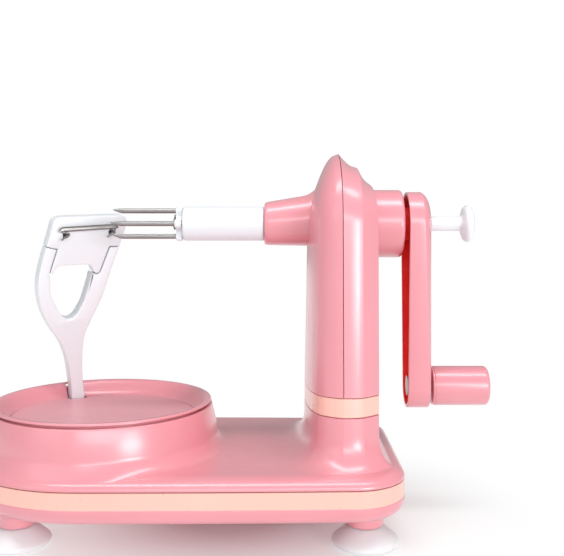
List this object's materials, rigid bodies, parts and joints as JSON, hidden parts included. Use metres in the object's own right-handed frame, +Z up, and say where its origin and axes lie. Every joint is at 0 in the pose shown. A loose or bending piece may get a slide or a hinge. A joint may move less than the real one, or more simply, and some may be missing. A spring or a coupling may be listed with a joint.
{
  "type": "apple peeler",
  "caption": "Hand-cranked tabletop apple peeler: fork spindle on a column, geared turntable carrying a sprung peeling arm, push-rod ejector and suction feet.",
  "frame": {"origin": "on the table, under the middle of the whole object's box", "axes": "+X along the spindle from the fork towards the crank, +Z up, +Y towards the side the peeling arm rests on"},
  "size_m": [0.281, 0.1364, 0.1966],
  "materials": {
    "pink_shell": "gloss",
    "peach_accent": "gloss",
    "mauve_disc": "satin",
    "white_plastic": "satin",
    "milky_rubber": "soft, slightly translucent",
    "steel": "brushed",
    "gear_nylon": "matt"
  },
  "bodies": {
    "base": {"base_upper_shell": "pink_shell", "base_accent_band": "peach_accent", "base_lower_cover": "pink_shell", "suction_cup_front_left": "milky_rubber", "suction_cup_rear_left": "milky_rubber", "suction_cup_front_right": "milky_rubber", "suction_cup_rear_right": "milky_rubber", "base_screw_1": "steel", "base_screw_2": "steel", "base_screw_3": "steel", "base_screw_4": "steel", "column_front_shell": "pink_shell", "column_rear_shell": "pink_shell", "column_accent_band": "peach_accent", "column_screw_1": "steel", "column_screw_2": "steel", "column_screw_3": "steel", "column_screw_4": "steel", "front_bush": "gear_nylon", "rear_bush": "gear_nylon", "gear_bracket": "steel", "turntable_pivot_post": "steel", "idler_post": "steel"},
    "spindle": {"drive_shaft": "steel", "fork_sleeve": "white_plastic", "fork_prong_top": "steel", "fork_prong_bottom": "steel", "fork_prong_front": "steel", "fork_prong_rear": "steel", "worm": "gear_nylon", "crank_arm": "pink_shell", "handle_pin": "steel"},
    "grip": {"handle_grip": "pink_shell"},
    "ejector": {"ejector_rod": "white_plastic", "ejector_plate": "white_plastic", "ejector_clip": "steel"},
    "layshaft": {"upright_shaft": "steel", "worm_wheel": "gear_nylon", "drive_pinion": "gear_nylon"},
    "idler": {"idler_gear": "gear_nylon"},
    "turntable": {"turntable_ring": "pink_shell", "turntable_disc": "mauve_disc", "turntable_gear": "gear_nylon", "turntable_screw_1": "steel", "turntable_screw_2": "steel", "arm_pin": "steel", "arm_spring": "steel"},
    "arm": {"peeler_arm": "white_plastic", "blade_holder": "white_plastic"},
    "blade": {"peeler_blade": "steel"}
  },
  "joints": [
    {"name": "crank_spin", "type": "hinge", "parent": "base", "child": "spindle", "pos_m": [0, 0, 0.1586], "axis": [1, 0, 0], "range_deg": [-3690, 1890]},
    {"name": "grip_spin", "type": "hinge", "parent": "spindle", "child": "grip", "pos_m": [0.1251, 0, 0.0697], "axis": [1, 0, 0], "continuous": true},
    {"name": "ejector_slide", "type": "slide", "parent": "spindle", "child": "ejector", "axis": [-1, 0, 0], "range_m": [0, 0.017]},
    {"name": "layshaft_spin", "type": "hinge", "parent": "base", "child": "layshaft", "pos_m": [0.0584, 0.01638, 0.1], "axis": [0, 0, 1], "range_deg": [-127, 247]},
    {"name": "idler_spin", "type": "hinge", "parent": "base", "child": "idler", "pos_m": [0.00379, 0.00396, 0.0288], "axis": [0, 0, 1], "range_deg": [-117, 60]},
    {"name": "turntable_spin", "type": "hinge", "parent": "base", "child": "turntable", "pos_m": [-0.0701, 0, 0.05], "axis": [0, 0, 1], "range_deg": [-64, 124]},
    {"name": "arm_swing", "type": "hinge", "parent": "turntable", "child": "arm", "pos_m": [-0.0953, 0.04365, 0.0465], "axis": [-0.866, -0.5, 0], "range_deg": [0, 13], "stiffness_Nm_per_rad": 0.05, "springref_deg": -28.65},
    {"name": "blade_swivel", "type": "hinge", "parent": "arm", "child": "blade", "pos_m": [-0.08512, 0.02722, 0.15301], "axis": [0.869, 0.4911, 0.0604], "range_deg": [-18, 18]}
  ],
  "couplings": [
    {"joint": "layshaft_spin", "follows": "crank_spin", "ratio": -0.066667},
    {"joint": "idler_spin", "follows": "crank_spin", "ratio": 0.031579},
    {"joint": "turntable_spin", "follows": "crank_spin", "ratio": -0.033333}
  ]
}
